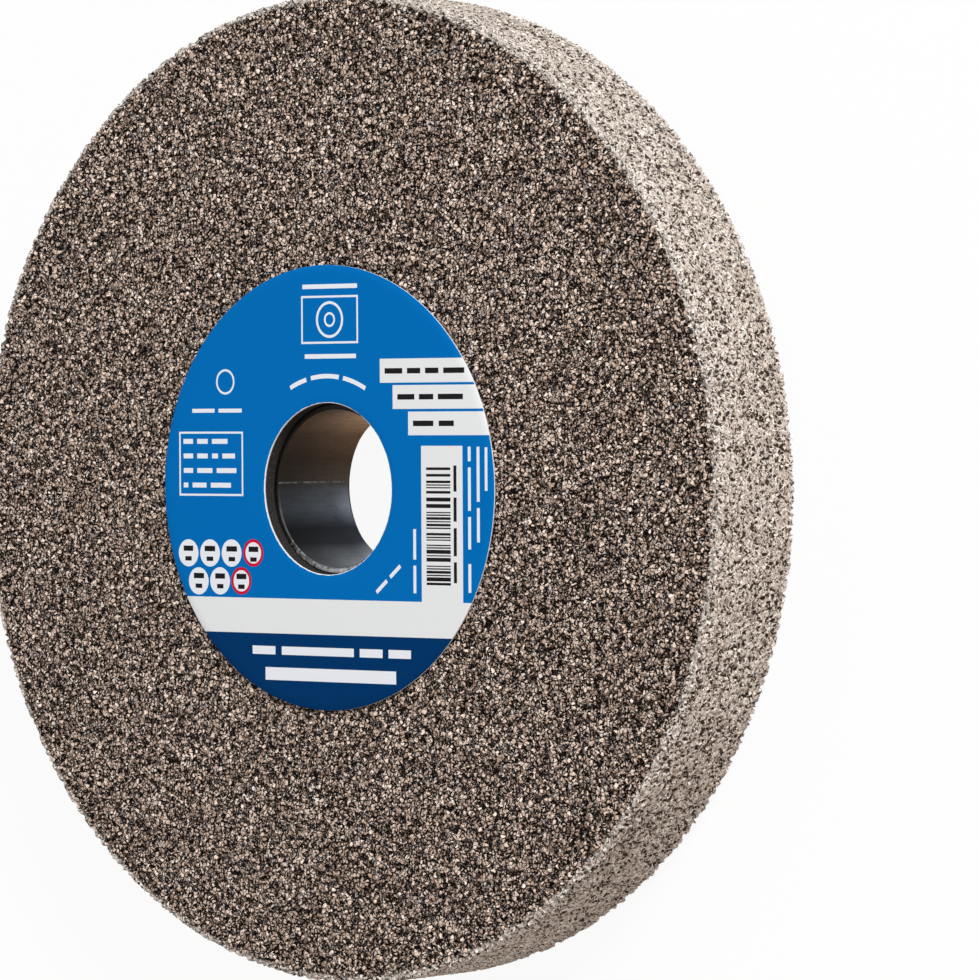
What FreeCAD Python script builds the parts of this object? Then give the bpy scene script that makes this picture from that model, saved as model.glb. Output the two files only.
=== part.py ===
"""Bench grinding wheel: a vitrified abrasive ring with a rolled steel bush in its bore,
a round paper label on the front side and a plain paper washer on the back.

Units are millimetres. The wheel lies on its back side: +Z is the bore axis and points out of
the labelled side, +X runs to the right across the label and +Y runs up the label. The origin
is on the bore axis, in the plane that the wheel rests on.
"""
import FreeCAD
import Part
import Sketcher

import os

DOC = FreeCAD.newDocument("bench_grinding_wheel")

# Driving dimensions: alias, value and what it is.
SIZES = [
    ("wheel_diameter", 200, "outside diameter of the abrasive ring"),
    ("wheel_width", 25, "width of the abrasive ring along its axis"),
    ("corner_round", 1.2, "rounding of the trued outer corners"),
    ("bore_diameter", 32, "inside diameter of the steel bush"),
    ("bush_wall", 1.3, "thickness of the strip that the bush is rolled from"),
    ("front_recess", 2.2, "how far the bush's front end lies below the front side"),
    ("back_recess", 1.2, "how far its back end lies inside the back side"),
    ("bush_chamfer", 0.3, "chamfer on both rims of each bush end"),
    ("bush_clearance", 0.05, "radial gap between the bush and the abrasive"),
    ("seam_gap", 0.2, "width of the butt seam where the rolled strip meets"),
    ("seam_angle", 176, "direction of the seam, in degrees from +X"),
    ("mouth_chamfer", 0.4, "chamfer at both mouths of the hole in the abrasive"),
    ("label_diameter", 90, "outside diameter of the front label"),
    ("label_thickness", 0.4, "thickness of the front label"),
    ("label_hole_margin", 0, "how far the holes in label and washer stand back from the seat"),
    ("label_shift_x", -0.6, "the label is cut a little off centre, along X"),
    ("label_shift_y", 0.2, "the same along Y"),
    ("washer_diameter", 90, "outside diameter of the back washer"),
    ("washer_thickness", 0.4, "thickness of the back washer"),
]

# Sizes worked out from the driving ones.
DERIVED = [
    ("bush_diameter", "=bore_diameter + 2 * bush_wall", "outside diameter of the bush"),
    ("seat_diameter", "=bush_diameter + 2 * bush_clearance", "hole in the abrasive"),
    ("paper_hole", "=seat_diameter + 2 * label_hole_margin", "hole in the label and the washer"),
    ("back_side", "=washer_thickness", "height of the back side of the abrasive"),
    ("front_side", "=back_side + wheel_width", "height of the front side of the abrasive"),
    ("bush_low", "=back_side + back_recess", "height of the lower end of the bush"),
    ("bush_high", "=front_side - front_recess", "height of the upper end of the bush"),
    ("seam_start", "=bore_diameter / 2 - bush_wall", "the seam cut starts inside the bore"),
    ("seam_end", "=bush_diameter / 2 + bush_wall", "and ends outside the bush"),
]


def make_sheet():
    """The spreadsheet that holds every size, each under its own name."""
    sheet = DOC.addObject("Spreadsheet::Sheet", "sizes")
    for row, (alias, value, note) in enumerate(SIZES + DERIVED, start=1):
        sheet.set(f"A{row}", alias)
        sheet.set(f"B{row}", str(value))
        sheet.set(f"C{row}", note)
        sheet.setAlias(f"B{row}", alias)
    DOC.recompute()
    return sheet


def new_body(name):
    """An empty body whose Label names its file."""
    body = DOC.addObject("PartDesign::Body", name)
    body.Label = name
    return body


def plane_sketch(body, name, role):
    """An empty sketch on one of the body's own origin planes."""
    plane = next(item for item in body.Origin.OriginFeatures if item.Role == role)
    sketch = body.newObject("Sketcher::SketchObject", name)
    sketch.AttachmentSupport = [(plane, "")]
    sketch.MapMode = "FlatFace"
    return sketch


def bind(sketch, name, kind, first, second, expression):
    """A named distance from one sketch point to another, bound to an expression."""
    index = sketch.addConstraint(Sketcher.Constraint(kind, *first, *second, 1.0))
    sketch.renameConstraint(index, name)
    sketch.setExpression(f"Constraints.{name}", expression)


def draw_rectangle(sketch, left, right, low, high, across=False):
    """A rectangle bound on four sides, to the right of the origin. With across, low lies
    that far below the X axis and high that far above it, otherwise both lie above."""
    foot = -1 if across else 1
    corners = [(1, foot), (2, foot), (2, 2), (1, 2)]
    for number, (x, y) in enumerate(corners):
        start = FreeCAD.Vector(x, y, 0)
        end = FreeCAD.Vector(*corners[(number + 1) % 4], 0)
        sketch.addGeometry(Part.LineSegment(start, end), False)
    for number in range(4):
        sketch.addConstraint(Sketcher.Constraint("Coincident", number, 2, (number + 1) % 4, 1))
    for number, kind in enumerate(("Horizontal", "Vertical", "Horizontal", "Vertical")):
        sketch.addConstraint(Sketcher.Constraint(kind, number))
    origin = (-1, 1)
    foot_points = ((0, 1), origin) if across else (origin, (0, 1))
    bind(sketch, "left", "DistanceX", origin, (0, 1), left)
    bind(sketch, "right", "DistanceX", origin, (0, 2), right)
    bind(sketch, "low", "DistanceY", *foot_points, low)
    bind(sketch, "high", "DistanceY", origin, (2, 1), high)


def turned_ring(name, inside, outside, low, high):
    """A body whose rectangular section is revolved about Z. The sizes are expressions."""
    body = new_body(name)
    section = plane_sketch(body, f"{name}_section", "XZ_Plane")
    draw_rectangle(section, inside, outside, low, high)
    ring = body.newObject("PartDesign::Revolution", f"{name}_ring")
    ring.Profile = section
    ring.ReferenceAxis = (section, ["V_Axis"])
    ring.Angle = 360
    DOC.recompute()
    return body, ring


def rims_at(shape, radius, height):
    """Names of the circular edges of that radius at that height."""
    found = []
    for number, edge in enumerate(shape.Edges, start=1):
        curve = edge.Curve
        if not isinstance(curve, Part.Circle):
            continue
        if abs(curve.Radius - radius) < 1e-4 and abs(curve.Center.z - height) < 1e-4:
            found.append(f"Edge{number}")
    return found


def dress(body, kind, name, base, rims, size):
    """A Fillet or Chamfer on round rims, each given as a radius and a height."""
    edges = [edge for radius, height in rims for edge in rims_at(base.Shape, radius, height)]
    feature = body.newObject(f"PartDesign::{kind}", name)
    feature.Base = (base, edges)
    feature.setExpression("Radius" if kind == "Fillet" else "Size", size)
    DOC.recompute()
    return feature


def make_abrasive_wheel(sheet):
    """The moulded ring: flat sides, a trued rim with worn corners, and a hole for the bush."""
    body, ring = turned_ring(
        "abrasive_wheel",
        "sizes.seat_diameter / 2",
        "sizes.wheel_diameter / 2",
        "sizes.back_side",
        "sizes.front_side",
    )
    heights = (sheet.back_side, sheet.front_side)
    corners = [(sheet.wheel_diameter / 2, height) for height in heights]
    worn = dress(body, "Fillet", "worn_corners", ring, corners, "sizes.corner_round")
    mouths = [(sheet.seat_diameter / 2, height) for height in heights]
    dress(body, "Chamfer", "hole_mouths", worn, mouths, "sizes.mouth_chamfer")
    return body


def make_bore_bush(sheet):
    """The bush: steel strip rolled into a tube, with chamfered ends and an open butt seam."""
    body, ring = turned_ring(
        "bore_bush",
        "sizes.bore_diameter / 2",
        "sizes.bush_diameter / 2",
        "sizes.bush_low",
        "sizes.bush_high",
    )
    radii = (sheet.bore_diameter / 2, sheet.bush_diameter / 2)
    rims = [(radius, height) for radius in radii for height in (sheet.bush_low, sheet.bush_high)]
    ends = dress(body, "Chamfer", "bush_ends", ring, rims, "sizes.bush_chamfer")

    seam = plane_sketch(body, "seam_outline", "XY_Plane")
    half_gap = "sizes.seam_gap / 2"
    draw_rectangle(seam, "sizes.seam_start", "sizes.seam_end", half_gap, half_gap, across=True)
    slit = body.newObject("PartDesign::Pocket", "butt_seam")
    slit.Profile = seam
    slit.Type = "ThroughAll"
    slit.Reversed = True
    DOC.recompute()
    if not slit.Shape.Volume < ends.Shape.Volume:
        raise RuntimeError("the butt seam cuts nothing from the bush")
    body.setExpression("Placement.Rotation.Angle", "sizes.seam_angle")
    return body


def make_paper_ring(name, diameter, thickness, low, shift_x=None, shift_y=None):
    """A flat paper disc with a hole on the bore axis. With a shift its outline is off centre."""
    body = new_body(name)
    outline = plane_sketch(body, f"{name}_outline", "XY_Plane")
    outline.setExpression("AttachmentOffset.Base.z", low)
    centre = FreeCAD.Vector(-1, 1, 0) if shift_x else FreeCAD.Vector()
    axis = FreeCAD.Vector(0, 0, 1)
    outline.addGeometry(Part.Circle(FreeCAD.Vector(), axis, 1), False)
    outline.addGeometry(Part.Circle(centre, axis, 2), False)
    outline.addConstraint(Sketcher.Constraint("Coincident", 0, 3, -1, 1))
    for number, label, size in ((0, "hole", "sizes.paper_hole"), (1, "rim", diameter)):
        index = outline.addConstraint(Sketcher.Constraint("Diameter", number, 1.0 + number))
        outline.renameConstraint(index, label)
        outline.setExpression(f"Constraints.{label}", size)
    if shift_x:
        bind(outline, "shift_x", "DistanceX", (-1, 1), (1, 3), shift_x)
        bind(outline, "shift_y", "DistanceY", (-1, 1), (1, 3), shift_y)
    else:
        outline.addConstraint(Sketcher.Constraint("Coincident", 1, 3, -1, 1))
    pad = body.newObject("PartDesign::Pad", f"{name}_sheet")
    pad.Profile = outline
    pad.setExpression("Length", thickness)
    DOC.recompute()
    return body


def check(bodies):
    """Stops unless every object of the document, and each body's shape, came out sound."""
    DOC.recompute()
    failed = [item.Name for item in DOC.Objects if {"Invalid", "Error"} & set(item.State)]
    if failed:
        raise RuntimeError(f"these objects failed: {failed}")
    for body in bodies:
        shape = body.Shape
        if shape.isNull() or not shape.isValid() or len(shape.Solids) != 1:
            raise RuntimeError(f"{body.Label} is not one valid solid")
        box = shape.BoundBox
        print(f"{body.Label}: {shape.Volume:.1f} mm3, z {box.ZMin:.2f} to {box.ZMax:.2f}")


def main():
    sheet = make_sheet()
    label = make_paper_ring(
        "front_label",
        "sizes.label_diameter",
        "sizes.label_thickness",
        "sizes.front_side",
        "sizes.label_shift_x",
        "sizes.label_shift_y",
    )
    washer = make_paper_ring(
        "back_washer", "sizes.washer_diameter", "sizes.washer_thickness", "0"
    )
    bodies = [make_abrasive_wheel(sheet), make_bore_bush(sheet), label, washer]
    check(bodies)
    os.makedirs("parts", exist_ok=True)
    for body in bodies:
        body.Shape.exportStep(f"parts/{body.Label}.step")


main()
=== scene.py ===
import math
import random

import bmesh
import bpy
from mathutils import Matrix, Vector


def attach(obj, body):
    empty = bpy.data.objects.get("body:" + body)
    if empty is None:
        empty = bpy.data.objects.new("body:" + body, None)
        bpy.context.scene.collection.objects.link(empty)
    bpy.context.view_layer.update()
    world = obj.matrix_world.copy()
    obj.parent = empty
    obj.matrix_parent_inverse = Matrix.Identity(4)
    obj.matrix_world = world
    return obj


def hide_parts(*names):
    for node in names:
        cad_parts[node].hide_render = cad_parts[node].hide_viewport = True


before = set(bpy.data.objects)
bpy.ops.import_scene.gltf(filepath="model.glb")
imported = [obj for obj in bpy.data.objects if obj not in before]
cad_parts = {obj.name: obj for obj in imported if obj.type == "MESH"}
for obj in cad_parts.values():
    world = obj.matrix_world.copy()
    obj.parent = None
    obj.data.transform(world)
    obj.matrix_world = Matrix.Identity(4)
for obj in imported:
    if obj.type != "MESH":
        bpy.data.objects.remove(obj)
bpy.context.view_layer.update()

mm = 0.001
random.seed(24)


# a wired socket that can be added, multiplied and compared, in a shader or a modifier's tree
class Wire:
    def __init__(self, tree, socket=None):
        self.tree = tree
        self.socket = socket

    # any node: its type, its settings, its sockets by name or number, and the outputs wanted
    def make(self, kind, settings=None, sockets=None, out=0):
        node = self.tree.nodes.new(kind)
        for name, value in (settings or {}).items():
            if name == "stops":
                fillRamp(node.color_ramp, value)
            else:
                setattr(node, name, value)
        for key, value in (sockets or {}).items():
            target = pick(node.inputs, key)
            if isinstance(value, Wire):
                self.tree.links.new(value.socket, target)
            else:
                target.default_value = value
        if out is None:
            return node
        if isinstance(out, (list, tuple)):
            return [Wire(self.tree, pick(node.outputs, key)) for key in out]
        return Wire(self.tree, pick(node.outputs, out))

    def calc(self, operation, *values):
        return self.make("ShaderNodeMath", {"operation": operation}, dict(enumerate((self, *values))))

    def vector(self, operation, other):
        return self.make("ShaderNodeVectorMath", {"operation": operation}, {0: self, 1: other}, "Vector")

    def scaled(self, amount):
        return self.make("ShaderNodeVectorMath", {"operation": "SCALE"}, {0: self, 3: amount}, "Vector")

    def parts(self):
        return self.make("ShaderNodeSeparateXYZ", {}, {0: self}, (0, 1, 2))

    def noise(self, scale, detail, out="Fac"):
        sockets = {"Vector": self, "Scale": scale, "Detail": detail}
        return self.make("ShaderNodeTexNoise", {}, sockets, out)

    # grains or pores, one to a cell, about a pitch apart
    def cells(self, pitch, feature="F1", out="Color"):
        sockets = {"Vector": self, "Scale": 1 / pitch}
        return self.make("ShaderNodeTexVoronoi", {"feature": feature}, sockets, out)

    def ramp(self, *stops):
        return self.make("ShaderNodeValToRGB", {"stops": stops}, {0: self}, "Color")

    # self where the factor is 0, other where it is 1
    def mixed(self, other, factor):
        return self.make(
            "ShaderNodeMix",
            {"data_type": "RGBA"},
            {"Factor_Float": factor, "A_Color": self, "B_Color": other},
            "Result_Color",
        )

    # 0 below low, 1 above high, eased between
    def eased(self, low, high, start=0.0, end=1.0):
        return self.make(
            "ShaderNodeMapRange",
            {"interpolation_type": "SMOOTHSTEP"},
            {"Value": self, 1: low, 2: high, 3: start, 4: end},
        )

    def between(self, low, high):
        return (self > low) * (self < high)

    def __add__(self, other):
        return self.calc("ADD", other)

    __radd__ = __add__

    def __sub__(self, other):
        return self.calc("SUBTRACT", other)

    def __rsub__(self, other):
        return self.make("ShaderNodeMath", {"operation": "SUBTRACT"}, {0: other, 1: self})

    def __mul__(self, other):
        return self.calc("MULTIPLY", other)

    __rmul__ = __mul__

    def __truediv__(self, other):
        return self.calc("DIVIDE", other)

    def __gt__(self, other):
        return self.calc("GREATER_THAN", other)

    def __lt__(self, other):
        return self.calc("LESS_THAN", other)

    def __abs__(self):
        return self.calc("ABSOLUTE")


def pick(sockets, key):
    if isinstance(key, int):
        return sockets[key]
    for socket in sockets:
        if socket.identifier == key:
            return socket
    return sockets[key]


def fillRamp(ramp, stops):
    ramp.interpolation = "CONSTANT" if stops[0] == "steps" else "LINEAR"
    stops = [stop for stop in stops if not isinstance(stop, str)]
    while len(ramp.elements) < len(stops):
        ramp.elements.new(0.5)
    for element, (place, colour) in zip(ramp.elements, sorted(stops, key=lambda stop: stop[0])):
        element.position = place
        element.color = (*colour, 1) if len(colour) == 3 else colour


def addObject(name, data):
    piece = bpy.data.objects.new(name, data)
    bpy.context.scene.collection.objects.link(piece)
    return piece


def newMaterial(name):
    material = bpy.data.materials.new(name)
    material.use_nodes = True
    tree = material.node_tree
    tree.nodes.clear()
    return material, Wire(tree)


# the place on the piece, in millimetres
def placeOn(wire):
    return wire.make("ShaderNodeTexCoord", {}, {}, "Object").scaled(1 / mm)


def finishMaterial(wire, **sockets):
    named = {key.replace("_", " "): value for key, value in sockets.items()}
    shader = wire.make("ShaderNodeBsdfPrincipled", {}, named)
    wire.make("ShaderNodeOutputMaterial", {}, {"Surface": shader}, None)


def bumped(wire, height, strength=1.0):
    # the height is in millimetres
    return wire.make("ShaderNodeBump", {}, {"Strength": strength, "Distance": mm, "Height": height})


# rings are (radius, height, count) in millimetres, in order round the closed section
def ringMesh(name, rings, shift=(0.0, 0.0), jitter=0.0):
    inner = min(ring[0] for ring in rings)
    outer = max(ring[0] for ring in rings)
    points, starts = [], []
    for number, (radius, height, count) in enumerate(rings):
        starts.append(len(points))
        lean = (radius - inner) / (outer - inner)
        step = 2 * math.pi / count
        for k in range(count):
            angle = (k + 0.5 * (number % 2) + random.uniform(-jitter, jitter)) * step
            x = radius * math.cos(angle) + shift[0] * lean
            y = radius * math.sin(angle) + shift[1] * lean
            points.append((x * mm, y * mm, height * mm))
    faces = []
    for number, (radius, height, count) in enumerate(rings):
        after = (number + 1) % len(rings)
        lower, upper = (starts[number], count, number % 2), (starts[after], rings[after][2], after % 2)
        faces += stitched(*lower, *upper)
    mesh = bpy.data.meshes.new(name)
    mesh.from_pydata(points, [], faces)
    shape = bmesh.new()
    shape.from_mesh(mesh)
    bmesh.ops.recalc_face_normals(shape, faces=shape.faces)
    shape.to_mesh(mesh)
    shape.free()
    return addObject(name, mesh)


# the triangles between two rings that may have different counts
def stitched(startA, countA, oddA, startB, countB, oddB):
    faces = []
    a = b = 0
    while a < countA or b < countB:
        nextA = (a + 1 + 0.5 * oddA) / countA
        nextB = (b + 1 + 0.5 * oddB) / countB
        if b >= countB or (a < countA and nextA <= nextB):
            faces.append((startA + a % countA, startA + (a + 1) % countA, startB + b % countB))
            a += 1
        else:
            faces.append((startA + a % countA, startB + (b + 1) % countB, startB + b % countB))
            b += 1
    return faces


def spread(low, high, step):
    count = max(1, round(abs(high - low) / step))
    return [low + (high - low) * k / count for k in range(1, count + 1)]


def ring(radius, height, step):
    return (radius, height, max(12, round(2 * math.pi * radius / step)))


wheel = {
    "radius": 100.0,
    "hole": 17.35,
    "low": 0.4,
    "high": 25.4,
    "corner": 1.2,
    "mouth": 0.4,
    "boreSkin": 0.3,     # mm round the hole that counts as its wall
    "faceStep": 0.92,
    "rimStep": 0.62,
    "edgeBand": 5.0,
    "frontKept": 0.45,   # how much less the front corner is chipped than the back one
    "truedFrom": (1.8, 1.3),   # mm inside the radius where the side turns into the rim
    "cornerFrom": (2.4, 1.0),  # mm inside the radius and the sides where a corner begins
    "ragged": (0.45, 1.6),     # waves per mm and mm of the rim's ragged border
    "crumbled": (1.5, 2.2),
    "backStep": 1.6,
    "wallStep": 1.2,
}


# the rounded corner from one angle to the next, in degrees above the rim's middle
def cornerRings(w, angles):
    flat = w["radius"] - w["corner"]
    rings = []
    for angle in angles:
        turn = math.radians(angle)
        centre = w["high"] - w["corner"] if angle >= 0 else w["low"] + w["corner"]
        reach, rise = w["corner"] * math.cos(turn), w["corner"] * math.sin(turn)
        rings.append(ring(flat + reach, centre + rise, w["rimStep"]))
    return rings


def wheelRings(w):
    hole, mouth, low, high = w["hole"], w["mouth"], w["low"], w["high"]
    flat = w["radius"] - w["corner"]
    inside = flat - w["edgeBand"]
    rings = [ring(hole, low + mouth, w["wallStep"])]
    rings += [ring(hole, z, w["wallStep"]) for z in spread(low + mouth, high - mouth, w["wallStep"])]
    rings.append(ring(hole + mouth, high, w["wallStep"]))
    rings += [ring(r, high, w["faceStep"]) for r in spread(hole + mouth, inside, w["faceStep"])]
    rings += [ring(r, high, w["rimStep"]) for r in spread(inside, flat, w["rimStep"])]
    rings += cornerRings(w, (60, 30, 0))
    rimHeights = spread(high - w["corner"], low + w["corner"], w["rimStep"])
    rings += [ring(w["radius"], z, w["rimStep"]) for z in rimHeights]
    rings += cornerRings(w, (-30, -60, -90))
    rings += [ring(r, low, w["backStep"]) for r in spread(flat, hole + mouth, w["backStep"])]
    return rings


grain = {
    "pitch": 0.86,       # mm from grain to grain
    "wobble": 0.58,      # mm that the grain borders wander
    "wobbleRate": 1.4,   # waves per mm
    "facet": 0.37,       # mm from facet to facet
    "gap": (0.08, 0.33), # mm over which a grain falls away, where it sits tight and loose
    "looseRate": 0.75,   # waves per mm between tight and loose places
    "looseFrom": (0.35, 0.68),
    "gapDepth": 0.46,    # mm
    "rimGapDepth": 0.08, # mm, worn down on the trued rim
    "unevenness": 0.22,  # mm between high and low grains
    "rimUnevenness": 0.14,
    "poreShare": 0.04,   # share of places with no grain
    "poreDepth": 0.30,   # mm more
    "rimPitch": 0.74,    # mm from pore to pore on the trued rim
    "rimPore": (0.10, 0.50),  # mm, radius of its smallest and largest pores
    "rimPoreEdge": (-0.16, 0.02),  # mm across a pore's edge
    "cornerPore": 0.3,   # how much smaller pores are near a corner
    "rimDepth": 0.55,    # mm
    "nibble": 0.24,      # mm missing from the rim here and there
    "nibbleRate": 0.45,  # waves per mm
    "nibbleFrom": (0.46, 0.70),
    "chip": 1.3,         # mm broken out of its corners
    "chipRate": 1.0,     # waves per mm
    "chipFrom": (0.45, 0.60),
    "rustFrom": 0.985,   # grains above this part of their random number are rusty
    "paleFrom": 0.955,
    "slateTo": 0.12,
}


# the same field shapes the mesh and its colours: place is in millimetres on the unworn skin
def grainField(place, trued, corner):
    g = grain
    wobble = place.noise(g["wobbleRate"], 1.0, "Color")
    drift = wobble.vector("SUBTRACT", (0.5, 0.5, 0.5)).scaled(g["wobble"] * 2)
    wobbled = place.vector("ADD", drift)
    red, green, blue = wobbled.cells(g["pitch"]).parts()
    edge = wobbled.cells(g["pitch"], "DISTANCE_TO_EDGE", "Distance") * g["pitch"]
    loose = place.noise(g["looseRate"], 2.0).eased(*g["looseFrom"])
    tight, wide = g["gap"]
    body = (edge / (loose * (wide - tight) + tight)).eased(0.0, 1.0)
    pore = red < g["poreShare"]
    sideHeight = (green - 1) * g["unevenness"] - pore * g["poreDepth"] + (body - 1) * g["gapDepth"]

    centre, size = wobbled.cells(g["rimPitch"], out=("Distance", "Color"))
    small, large = g["rimPore"]
    reach = (size.parts()[0] * (large - small) + small) * (1 - corner * g["cornerPore"])
    pit = (centre * g["rimPitch"] - reach).eased(*g["rimPoreEdge"], 1.0, 0.0)
    uneven = (green - 1) * g["rimUnevenness"]
    rimHeight = (body - 1) * g["rimGapDepth"] + uneven - pit * g["rimDepth"]
    height = sideHeight + (rimHeight - sideHeight) * trued
    return height, body, pore, pit, green, blue, wobbled


# what has gone from the rim and its corners, too broad to need a place in the material
def brokenOff(place, trued, corner):
    g = grain
    nibbled = place.noise(g["nibbleRate"], 3.0).eased(*g["nibbleFrom"]) * g["nibble"] * trued
    chipped = place.noise(g["chipRate"], 2.0).eased(*g["chipFrom"]) * g["chip"] * corner
    return nibbled + chipped


# 1 on the trued rim and 0 on the flat sides
def truedShare(radius):
    start, full = wheel["truedFrom"]
    return radius.eased(wheel["radius"] - start, wheel["radius"] - full)


# that share with a ragged border, then 1 near the rim's two corners, and the radius
def rimShare(place):
    w = wheel
    x, y, z = place.parts()
    radius = (x * x + y * y).calc("SQRT")
    raggedRate, raggedBy = w["ragged"]
    crumbledRate, crumbledBy = w["crumbled"]
    ragged = place.noise(raggedRate, 3.0)
    crumbled = place.noise(crumbledRate, 2.0)
    border = (ragged - 0.5) * raggedBy + (crumbled - 0.5) * crumbledBy
    share = truedShare(radius + border)
    fromMiddle = z - (w["low"] + w["high"]) / 2
    kept = (fromMiddle > 0.0) * w["frontKept"]
    fromMiddle = abs(fromMiddle)
    half = (w["high"] - w["low"]) / 2
    start, full = w["cornerFrom"]
    outer = radius.eased(w["radius"] - start, w["radius"] - full)
    corner = fromMiddle.eased(half - start, half - full) * outer * (1 - kept)
    return share, corner, radius


# 1 on the wall of the hole
def boreWall(radius):
    return radius < wheel["hole"] + wheel["boreSkin"]


def addRelief(piece):
    # the place on the unworn skin, kept for the material
    mesh = piece.data
    rest = mesh.attributes.new("rest", "FLOAT_VECTOR", "POINT")
    rest.data.foreach_set("vector", [c / mm for vertex in mesh.vertices for c in vertex.co])
    tree = bpy.data.node_groups.new("grain relief", "GeometryNodeTree")
    tree.interface.new_socket("Geometry", in_out="INPUT", socket_type="NodeSocketGeometry")
    tree.interface.new_socket("Geometry", in_out="OUTPUT", socket_type="NodeSocketGeometry")
    wire = Wire(tree)
    incoming = wire.make("NodeGroupInput")
    place = wire.make("GeometryNodeInputPosition").scaled(1 / mm)
    share, corner, radius = rimShare(place)
    inBore = boreWall(radius)
    height = grainField(place, share, corner)[0] - brokenOff(place, share, corner)
    height = height * (1 - inBore * 0.95)
    push = wire.make("GeometryNodeInputNormal").scaled(height * mm)
    moved = wire.make("GeometryNodeSetPosition", {}, {"Geometry": incoming, "Offset": push})
    wire.make("NodeGroupOutput", {}, {0: moved}, None)
    modifier = piece.modifiers.new("relief", "NODES")
    modifier.node_group = tree
    bpy.context.view_layer.update()
    solid = piece.evaluated_get(bpy.context.evaluated_depsgraph_get())
    piece.data = bpy.data.meshes.new_from_object(solid)
    piece.modifiers.clear()


wheelColours = {
    "rust": (0.40, 0.20, 0.10, 1),
    "slate": (0.27, 0.27, 0.30, 1),
    "pale": (0.85, 0.80, 0.74, 1),
    # painted shade: near black for the gaps between the grains
    "gap": (0.004, 0.002, 0.001, 1),
    # painted shade: near black inside the pores
    "pore": (0.010, 0.007, 0.006, 1),
    "worn": (0.93, 0.88, 0.83, 1),
    # painted shade inside the rim's pits
    "pit": (0.030, 0.018, 0.012, 1),
    # painted shade for the shallow gaps between the grains on the rim
    "rimGapShade": (0.06, 0.040, 0.028, 1),
    "fleck": (0.04, 0.025, 0.017, 1),
    "bore": (0.040, 0.037, 0.036, 1),
}


def abrasiveMaterial():
    material, wire = newMaterial("vitrified grain")
    place = wire.make("ShaderNodeAttribute", {"attribute_name": "rest"}, {}, "Vector")
    share, corner, radius = rimShare(place)
    plainShare = truedShare(radius)
    body, pore, pit, green, blue, wobbled = grainField(place, plainShare, corner)[1:]
    chipA, _, chipC = wobbled.cells(grain["facet"]).parts()
    broad = place.noise(0.11, 3.0)
    dust = place.noise(3.2, 3.0)

    # each facet's random brightness is partly the grains' own tone and partly painted glints
    tone = green * 0.5 + chipA * 0.5 + (broad - 0.5) * 0.3
    side = tone.ramp(
        (0.05, (0.12, 0.080, 0.060)),
        (0.25, (0.36, 0.262, 0.206)),
        (0.48, (0.60, 0.455, 0.372)),
        (0.7, (0.88, 0.700, 0.588)),
        (0.95, (1.0, 0.90, 0.80)),
    )
    side = side.mixed(wheelColours["rust"], (blue > grain["rustFrom"]) * 0.5)
    side = side.mixed(wheelColours["slate"], blue.between(0.0, grain["slateTo"]) * 0.5)
    side = side.mixed(wheelColours["pale"], blue.between(grain["paleFrom"], grain["rustFrom"]) * 0.7)
    # painted shade between the grains, darkest where each grain falls away
    side = side.mixed(wheelColours["gap"], (1 - body).eased(0.0, 0.9))
    # painted shade in the pores, which the mesh also sinks
    side = side.mixed(wheelColours["pore"], pore * 0.7)

    land = (chipA * 0.36 + dust * 0.42 + broad * 0.15 + green * 0.1 - 0.05).ramp(
        (0.20, (0.20, 0.150, 0.115)),
        (0.36, (0.54, 0.445, 0.370)),
        (0.50, (0.82, 0.725, 0.645)),
        (0.66, (0.93, 0.88, 0.83)),
    )
    land = land.mixed(wheelColours["worn"], corner * 0.6)
    # painted shade in the rim's pits, which the mesh also sinks
    rim = land.mixed(wheelColours["pit"], pit.eased(0.0, 0.30) * 0.97)
    # painted shade in the shallow gaps between the rim's grains
    rim = rim.mixed(wheelColours["rimGapShade"], (1 - body) * 0.3)
    rim = rim.mixed(wheelColours["fleck"], (chipC < 0.12) * 0.8)
    colour = side.mixed(rim, share)
    inBore = boreWall(radius)
    colour = colour.mixed(wheelColours["bore"], inBore * 0.985)

    # the mesh has the steps between grains, so the bump has only their rounding and their faces
    worn = grain["gapDepth"] - grain["rimGapDepth"]
    fall = (body - 1) * (grain["gapDepth"] - plainShare * worn)
    faces = (place.noise(2.4, 1.0) - 0.5) * 0.24 * (1 - plainShare * 0.5)
    relief = (fall * 1.8 + faces) * (1 - inBore * 0.85)
    finishMaterial(
        wire,
        Base_Color=colour,
        Specular_IOR_Level=0.03,
        Roughness=0.62 - chipC * 0.22,
        Normal=bumped(wire, relief, 1.0),
    )
    return material


wheelPiece = ringMesh("abrasiveWheel", wheelRings(wheel), jitter=0.28)
addRelief(wheelPiece)
wheelPiece.data.materials.append(abrasiveMaterial())
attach(wheelPiece, "root")
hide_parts("abrasive_wheel")
print("wheel", len(wheelPiece.data.polygons), "faces")

paper = {
    "radius": 45.0,
    "hole": 17.35,
    "low": 25.4,
    "high": 25.8,
    "shift": (-0.6, 0.2),
    "edge": 0.12,        # mm that the cut edge is rounded
    "step": 1.6,
    "nick": 0.26,        # mm, most, that its print is worn back round the hole
    "printDepth": 0.1,   # mm below its top where the bare cut edge begins
    "blue": (0.0, 0.150, 0.475),
    "navy": (0.0, 0.034, 0.130),
    "pale": (0.80, 0.815, 0.825),
    "white": (0.82, 0.85, 0.90),
    "ink": (0.012, 0.012, 0.014),
    "red": (0.62, 0.008, 0.03),
}

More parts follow.
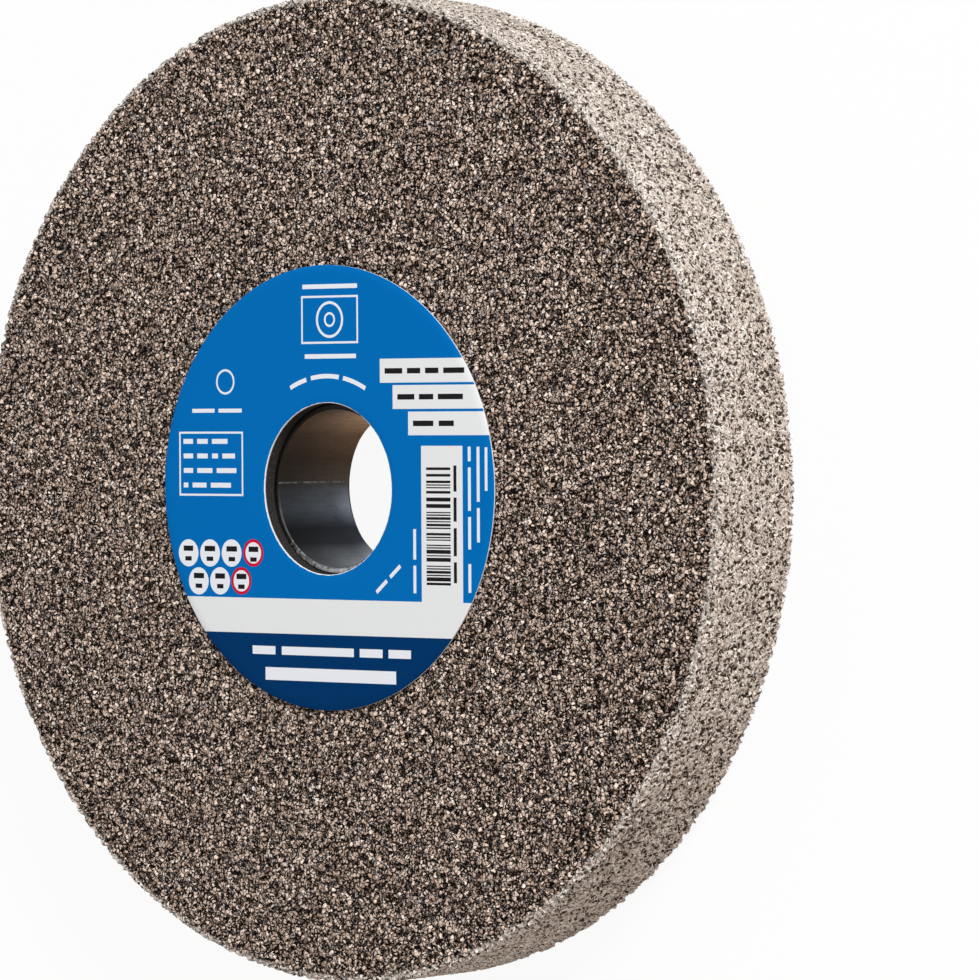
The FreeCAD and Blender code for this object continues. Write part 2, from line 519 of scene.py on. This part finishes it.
# places on the label in mm from the bore axis, X to the right and Y up
printed = {
    "plates": [(14.4, 21.3, 26.1), (17.8, 16.05, 20.8), (21.9, 10.8, 15.5)],
    "band": (-29.5, -22.35),
    "panel": (25.3, 36.2, -22.4, 8.7),
    "boxes": [(-41.4, -23.3, -1.6, 11.6), (-6.9, 8.6, 29.3, 39.0)],
    "line": 0.42,
    "rings": [(0.85, 34.15, 3.7, 0.55), (0.85, 34.15, 1.5, 0.45), (-28.2, 21.8, 2.6, 0.45)],
    "spot": 2.8,
    "spots": [(-38.9, -13.4), (-32.8, -13.35), (-26.7, -13.3), (-36.05, -19.15), (-30.0, -19.05)],
    "redSpots": [(-20.6, -13.2), (-24.0, -18.95)],
    "redLine": 0.62,
    "slant": 40,         # degrees
    "archRadius": 22.6,
    "bars": (-19.0, 4.6),
    "barWidths": (0.26, 0.26, 0.52, 0.78),
    "barRow": (26.6, 6.4),
    "barsPerRamp": 11,
}

# rows of plain dashes, along X or up Y: level, height, and the spans that are filled
rows = {
    "whiteAcross": [
        (40.4, 0.9, [(-6.6, 8.4)]),
        (26.3, 0.9, [(-6.0, 8.0)]),
        (15.5, 0.8, [(-37.6, -31.3), (-30.2, -23.6)]),
        (9.1, 1.0, [(-40.2, -37.5), (-36.3, -33.3), (-32.1, -27.7)]),
        (6.1, 1.0, [(-40.2, -37.5), (-36.3, -33.3), (-32.1, -30.4), (-29.2, -25.6)]),
        (3.1, 1.0, [(-40.2, -37.5), (-36.3, -32.0), (-30.8, -25.2)]),
        (0.1, 1.0, [(-40.2, -38.9), (-37.7, -33.7), (-32.5, -26.8)]),
    ],
    "titleAcross": [
        (-33.8, 1.7, [(-21.0, -14.6), (-12.9, 6.8), (8.5, 14.6), (16.3, 22.2)]),
        (-39.0, 2.6, [(-17.4, 18.2)]),
    ],
    "inkAcross": [
        (23.1, 1.1, [(15.6, 20.4), (21.6, 25.2), (26.4, 30.0), (31.2, 36.8)]),
        (17.9, 1.1, [(19.0, 23.6), (24.8, 28.6), (29.8, 36.4)]),
        (12.6, 1.1, [(23.2, 28.6), (30.0, 34.0)]),
        (-13.0, 1.1, [(-40.4, -37.6), (-34.4, -31.4), (-28.2, -25.2), (-22.0, -19.2)]),
        (-15.0, 0.9, [(-39.9, -38.1), (-33.8, -31.9), (-27.6, -25.8), (-21.5, -19.7)]),
        (-18.6, 1.1, [(-37.5, -34.6), (-31.4, -28.6), (-25.4, -22.6)]),
        (-20.6, 0.9, [(-37.0, -35.1), (-30.9, -29.1), (-24.9, -23.1)]),
    ],
    "whiteUp": [
        (23.1, 0.75, [(-20.7, -15.2), (-14.0, -7.9)]),
        (37.6, 0.75, [(-20.4, -14.7), (-11.8, -5.4), (-4.2, 4.4), (5.6, 8.5)]),
        (39.9, 0.75, [(-10.4, -3.6), (-2.4, 8.5)]),
        (42.0, 0.7, [(-0.2, 8.4)]),
    ],
    "inkUp": [(33.8, 0.8, [(-18.6, -14.4), (-13.2, -7.6), (-6.4, -1.6), (-0.4, 4.8)])],
    "slanted": [(-24.7, 0.8, [(-3.2, 0.5), (1.6, 5.2)])],
    "arched": [(22.3, 0.9, [(-10.4, -5.6), (-4.4, 3.2), (4.4, 10.8)])],
}


def dashes(u, v, row):
    level, height, spans = row
    low, high = spans[0][0] - 1, spans[-1][1] + 1
    stops = ["steps", (0.0, (0, 0, 0))]
    for start, end in spans:
        stops += [((start - low) / (high - low), (1, 1, 1)), ((end - low) / (high - low), (0, 0, 0))]
    filled = ((u - low) * (1 / (high - low))).ramp(*stops)
    return filled * v.between(level, level + height)


def together(masks):
    total = masks[0]
    for mask in masks[1:]:
        total = total.calc("MAXIMUM", mask)
    return total


def disc(x, y, place, radius):
    dx, dy = x - place[0], y - place[1]
    return (dx * dx + dy * dy) < radius * radius


def barcode(x, y):
    lines = random.Random(7)
    widths = printed["barWidths"]
    masks = []
    edge, end = printed["bars"]
    while edge < end:
        spans = []
        while len(spans) < printed["barsPerRamp"] and edge < end:
            width = lines.choice(widths)
            spans.append((edge, edge + width))
            edge += width + lines.choice(widths)
        masks.append(dashes(y, x, (*printed["barRow"], spans)))
    return together(masks)


def labelMaterial():
    material, wire = newMaterial("printed label paper")
    p, k = printed, paper
    place = placeOn(wire)
    x, y, z = place.parts()
    radius = (x * x + y * y).calc("SQRT")
    across = lambda name: [dashes(x, y, row) for row in rows[name]]
    upward = lambda name: [dashes(y, x, row) for row in rows[name]]

    ground = wire.make("ShaderNodeRGB")
    ground.socket.default_value = (*k["blue"], 1)
    colour = ground
    bandMask = y.between(*p["band"])
    left, right, low, high = p["panel"]
    panel = x.between(left, right) * y.between(low, high)
    plates = [(x > left) * y.between(low, high) for left, low, high in p["plates"]]
    plates = together(plates + [bandMask, panel])
    colour = colour.mixed((*k["pale"], 1), plates)
    colour = colour.mixed((*k["navy"], 1), y < p["band"][0])

    frames = []
    for left, right, low, high in p["boxes"]:
        line = p["line"]
        outer = x.between(left, right) * y.between(low, high)
        inner = x.between(left + line, right - line) * y.between(low + line, high - line)
        frames.append(outer - inner)
    for cx, cy, size, line in p["rings"]:
        frames.append(disc(x, y, (cx, cy), size) - disc(x, y, (cx, cy), size - line))
    spots = [disc(x, y, place, p["spot"]) for place in p["spots"] + p["redSpots"]]
    turned = math.radians(p["slant"])
    along = x * math.cos(turned) + y * math.sin(turned)
    over = y * math.cos(turned) - x * math.sin(turned)
    arc = x.calc("ARCTAN2", y) * p["archRadius"]
    white = together(
        frames + spots + across("whiteAcross") + across("titleAcross") + upward("whiteUp")
        + [dashes(along, over, row) for row in rows["slanted"]]
        + [dashes(arc, radius, row) for row in rows["arched"]]
    )
    nicked = place.noise(0.9, 2.0)
    bare = (radius < k["hole"] + nicked * k["nick"]) + (z < k["high"] - k["printDepth"])
    colour = colour.mixed((*k["white"], 1), together([white, bare]))
    red = together([
        disc(x, y, place, p["spot"]) - disc(x, y, place, p["spot"] - p["redLine"]) for place in p["redSpots"]
    ])
    colour = colour.mixed((*k["red"], 1), red)
    black = together(across("inkAcross") + upward("inkUp") + [barcode(x, y)])
    colour = colour.mixed((*k["ink"], 1), black)

    press = place.noise(0.8, 2.0)
    fibre = place.noise(5.0, 3.0)
    finishMaterial(
        wire,
        Base_Color=colour,
        Specular_IOR_Level=0.02,
        Roughness=0.46 + fibre * 0.14,
        Normal=bumped(wire, press * 0.05 + fibre * 0.012, 0.5),
    )
    return material


def paperRings(w):
    hole, outer, low, high, soft, step = (w[key] for key in ("hole", "radius", "low", "high", "edge", "step"))
    section = [(hole, low), (hole, high - soft), (hole + soft * 0.3, high - soft * 0.3), (hole + soft, high)]
    section += [(radius, high) for radius in spread(hole + soft, outer - soft, step)]
    section += [(outer - soft * 0.3, high - soft * 0.3), (outer, high - soft), (outer, low)]
    under = spread(outer, hole, step * 2)[:-1]
    return [ring(*corner, step) for corner in section] + [ring(radius, low, step * 2) for radius in under]


labelPiece = ringMesh("frontLabel", paperRings(paper), shift=paper["shift"])
labelPiece.data.materials.append(labelMaterial())
labelPiece.data.shade_smooth()
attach(labelPiece, "root")
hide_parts("front_label")
print("label", len(labelPiece.data.polygons), "faces")


washer = dict(paper, low=0.0, high=0.4, shift=(0.0, 0.0))


def washerMaterial():
    material, wire = newMaterial("plain washer paper")
    place = placeOn(wire)
    fibre = place.noise(3.0, 5.0)
    fleck = place.noise(1.1, 4.0)
    press = place.noise(0.8, 2.0)
    colour = (fibre * 0.6 + fleck * 0.4).ramp(
        (0.25, (0.44, 0.35, 0.24)),
        (0.6, (0.58, 0.48, 0.35)),
        (0.85, (0.68, 0.60, 0.47)),
    )
    colour = colour.mixed((0.20, 0.13, 0.07, 1), (fleck > 0.71) * 0.5)
    finishMaterial(
        wire,
        Base_Color=colour,
        Roughness=0.75 + fibre * 0.15,
        Normal=bumped(wire, press * 0.06 + fibre * 0.03, 0.6),
    )
    return material


washerPiece = ringMesh("backWasher", paperRings(washer))
# the soft edge belongs to the outer side, which is the lower one here
for vertex in washerPiece.data.vertices:
    vertex.co.z = (washer["low"] + washer["high"]) * mm - vertex.co.z
washerPiece.data.flip_normals()
washerPiece.data.materials.append(washerMaterial())
washerPiece.data.shade_smooth()
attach(washerPiece, "root")
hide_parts("back_washer")
print("washer", len(washerPiece.data.polygons), "faces")

bush = {
    "inside": 16.0,
    "outside": 17.3,
    "low": 1.6,
    "high": 23.2,
    "chamfer": 0.3,
    "seam": 176.0,       # degrees
    "gap": 0.06,         # mm, nearly closed
    "steps": 240,
    "wallStep": 1.6,
    "dents": 0.05,       # mm
    "sharp": 25,         # degrees from which an edge stays sharp
    "span": 34.0,        # mm of Y over which its colours run
    "seamHalf": 0.14,    # mm
    "endFrom": 0.06,     # mm outside the wall where the end's tone begins
    "drawnOut": 0.12,    # its scratches run along the axis
}


def bushMesh(w):
    inside, outside, low, high, cut = (w[key] for key in ("inside", "outside", "low", "high", "chamfer"))
    section = [(inside, z) for z in [low + cut] + spread(low + cut, high - cut, w["wallStep"])]
    section += [(inside + cut, high), (outside - cut, high), (outside, high - cut)]
    section += [(outside, low + cut), (outside - cut, low), (inside + cut, low)]
    half = w["gap"] / 2 / inside
    start = math.radians(w["seam"]) + half
    sweep = 2 * math.pi - 2 * half
    shape = bmesh.new()
    loops = []
    for step in range(w["steps"] + 1):
        angle = start + sweep * step / w["steps"]
        ragged = w["dents"] * (math.sin(angle * 5.0) * math.sin(angle * 17.0 + 1.0) - 1) * 0.5
        loop = []
        for radius, z in section:
            lift = ragged if abs(z - high) < cut * 1.01 else 0.0
            point = Vector((radius * math.cos(angle), radius * math.sin(angle), z + lift))
            loop.append(shape.verts.new(point * mm))
        loops.append(loop)
    for first, second in zip(loops, loops[1:]):
        for k in range(len(section)):
            after = (k + 1) % len(section)
            shape.faces.new((first[k], first[after], second[after], second[k]))
    shape.faces.new(loops[0])
    shape.faces.new(loops[-1][::-1])
    bmesh.ops.recalc_face_normals(shape, faces=shape.faces)
    for edge in shape.edges:
        if len(edge.link_faces) == 2 and edge.calc_face_angle(0.0) > math.radians(w["sharp"]):
            edge.smooth = False
    for face in shape.faces:
        face.smooth = True
    mesh = bpy.data.meshes.new("boreBush")
    shape.to_mesh(mesh)
    shape.free()
    return addObject("boreBush", mesh)


def bushMaterial():
    material, wire = newMaterial("rolled bush steel")
    place = placeOn(wire)
    x, y, z = place.parts()
    radius = (x * x + y * y).calc("SQRT")
    stretched = place.vector("MULTIPLY", (1.0, 1.0, bush["drawnOut"]))
    drawn = stretched.noise(1.6, 5.0)
    # a slow noise that wobbles the painted reflection streaks and the end's tone
    broadWobble = place.noise(0.13, 3.0)
    speck = place.noise(1.2, 4.0)
    # oiled and heat-tinted above the seam, partly painted reflection there too; below it, a dark and a light
    # streak of painted reflection
    around = y * (1 / bush["span"]) + 0.5 + (broadWobble - 0.5) * 0.05
    colour = around.ramp(
        (0.02, (0.30, 0.335, 0.37)),
        (0.08, (0.13, 0.145, 0.165)),
        (0.17, (0.007, 0.009, 0.014)),
        (0.26, (0.008, 0.010, 0.015)),
        (0.38, (0.080, 0.092, 0.108)),
        (0.49, (0.060, 0.064, 0.070)),
        (0.53, (0.052, 0.040, 0.031)),
        (0.68, (0.040, 0.023, 0.012)),
        (0.82, (0.085, 0.042, 0.017)),
        (0.92, (0.26, 0.133, 0.053)),
        (1.0, (0.14, 0.075, 0.033)),
    )
    # painted light: brighter towards the bore's far end by the floor, more so towards -Y, darker towards the
    # mouth
    paintedBoreLight = z.eased(1.0, 22.0, 1.35, 0.55) + (1 - around).eased(0.45, 0.6) * z.eased(1.6, 8.0, 1.3, 0.0)
    shade = paintedBoreLight * (drawn * 0.7 + 0.65)
    colour = colour.scaled(shade)
    turn = math.radians(bush["seam"])
    seam = abs(y * math.cos(turn) - x * math.sin(turn)) < bush["seamHalf"]
    # painted highlight along the seam, broken by specks
    colour = colour.mixed((0.34, 0.35, 0.36, 1), seam * (x < 0) * speck.eased(0.35, 0.6) * 0.7)
    colour = colour.mixed((0.020, 0.018, 0.017, 1), speck.eased(0.62, 0.74) * 0.5)
    ends = radius > bush["inside"] + bush["endFrom"]
    # random specks on the bush's end, and painted shade that darkens it towards +Y and lightens it towards -Y
    endSpecksAndShade = (speck * 0.5 + broadWobble * 0.2 - y * 0.026).ramp(
        (0.40, (0.014, 0.013, 0.012)),
        (0.65, (0.045, 0.043, 0.041)),
        (0.85, (0.45, 0.46, 0.47)),
    )
    colour = colour.mixed(endSpecksAndShade, ends)
    finishMaterial(
        wire,
        Base_Color=colour,
        Metallic=0.96,
        Roughness=0.42 + speck * 0.2,
        Normal=bumped(wire, drawn * 0.05 + speck * 0.03, 0.5),
    )
    return material


bushPiece = bushMesh(bush)
bushPiece.data.materials.append(bushMaterial())
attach(bushPiece, "root")
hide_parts("bore_bush")
print("bush", len(bushPiece.data.polygons), "faces")

# solved from the photograph, in metres
view = {
    "sensor": 36.0,
    "lens": 202.2,
    "nearest": 0.05,
    "eye": (0.7502, 0.0158, 0.8454),
    "ahead": (-0.65304, -0.01459, -0.75720),
    "right": (0.75732, -0.00542, -0.65304),
}
camera = bpy.data.cameras.new("camera")
camera.sensor_width = view["sensor"]
camera.lens = view["lens"]
camera.clip_start = view["nearest"]
cameraPiece = addObject("camera", camera)
eye = Vector(view["eye"])
back = -Vector(view["ahead"]).normalized()
right = Vector(view["right"]).normalized()
up = back.cross(right).normalized()
right = up.cross(back)
cameraPiece.matrix_world = Matrix((
    (right.x, up.x, back.x, eye.x),
    (right.y, up.y, back.y, eye.y),
    (right.z, up.z, back.z, eye.z),
    (0, 0, 0, 1),
))
bpy.context.scene.camera = cameraPiece


# a round soft lamp that faces the origin
def addLamp(name, place, size, power, colour):
    lamp = bpy.data.lights.new(name, "AREA")
    lamp.color = colour
    lamp.shape = "DISK"
    lamp.size = size
    lamp.energy = power
    piece = addObject(name, lamp)
    piece.location = place
    piece.rotation_euler = (-Vector(place)).to_track_quat("-Z", "Y").to_euler()


# name, place, size in metres, power in watts and colour
lamps = [
    ("keyLamp", (1.02, 1.02, 0.86), 0.5, 25.5, (1, 1, 1)),
    ("fillLamp", (-1.0, 0.3, 1.2), 1.0, 3.0, (1, 1, 1)),
    ("warmLamp", (0.9, -1.0, 0.4), 0.6, 2.2, (1.0, 0.60, 0.34)),
]
for lamp in lamps:
    addLamp(*lamp)


backdrop = {
    "dimmed": 0.37,      # of the sky's white where it only lights the wheel
    "glow": 0.93,        # of the floor's white that holds no shadow
    "matte": (0.9, 0.9, 0.9, 1),
    "side": 3.0,         # metres from the middle to the floor's edge
}


# 1 where the camera sees the backdrop itself, or in metal or through glass
def backdropRays(wire):
    direct, mirrored, through = wire.make(
        "ShaderNodeLightPath", {}, {}, ("Is Camera Ray", "Is Glossy Ray", "Is Transmission Ray")
    )
    return together([direct, mirrored, through])


def makeWorld():
    world = bpy.data.worlds.new("studio")
    bpy.context.scene.world = world
    world.use_nodes = True
    wire = Wire(world.node_tree)
    world.node_tree.nodes.clear()
    seen = backdropRays(wire)
    strength = seen * (1 - backdrop["dimmed"]) + backdrop["dimmed"]
    sky = wire.make("ShaderNodeBackground", {}, {"Color": (1, 1, 1, 1), "Strength": strength})
    wire.make("ShaderNodeOutputWorld", {}, {"Surface": sky}, None)


def makeFloor():
    mesh = bpy.data.meshes.new("floor")
    side = backdrop["side"]
    corners = [(-side, -side, 0), (side, -side, 0), (side, side, 0), (-side, side, 0)]
    mesh.from_pydata(corners, [], [(0, 1, 2, 3)])
    floor = addObject("floor", mesh)
    material, wire = newMaterial("white paper sweep")
    seen = backdropRays(wire)
    matte = wire.make("ShaderNodeBsdfDiffuse", {}, {"Color": backdrop["matte"]})
    glow = wire.make("ShaderNodeEmission", {}, {"Color": (1, 1, 1, 1), "Strength": 1.0})
    both = wire.make("ShaderNodeMixShader", {}, {0: seen * backdrop["glow"], 1: matte, 2: glow})
    wire.make("ShaderNodeOutputMaterial", {}, {"Surface": both}, None)
    mesh.materials.append(material)
    return floor


makeWorld()
makeFloor()
print("stage", len(lamps), "lamps")

scene = bpy.context.scene
scene.view_settings.view_transform = "Standard"
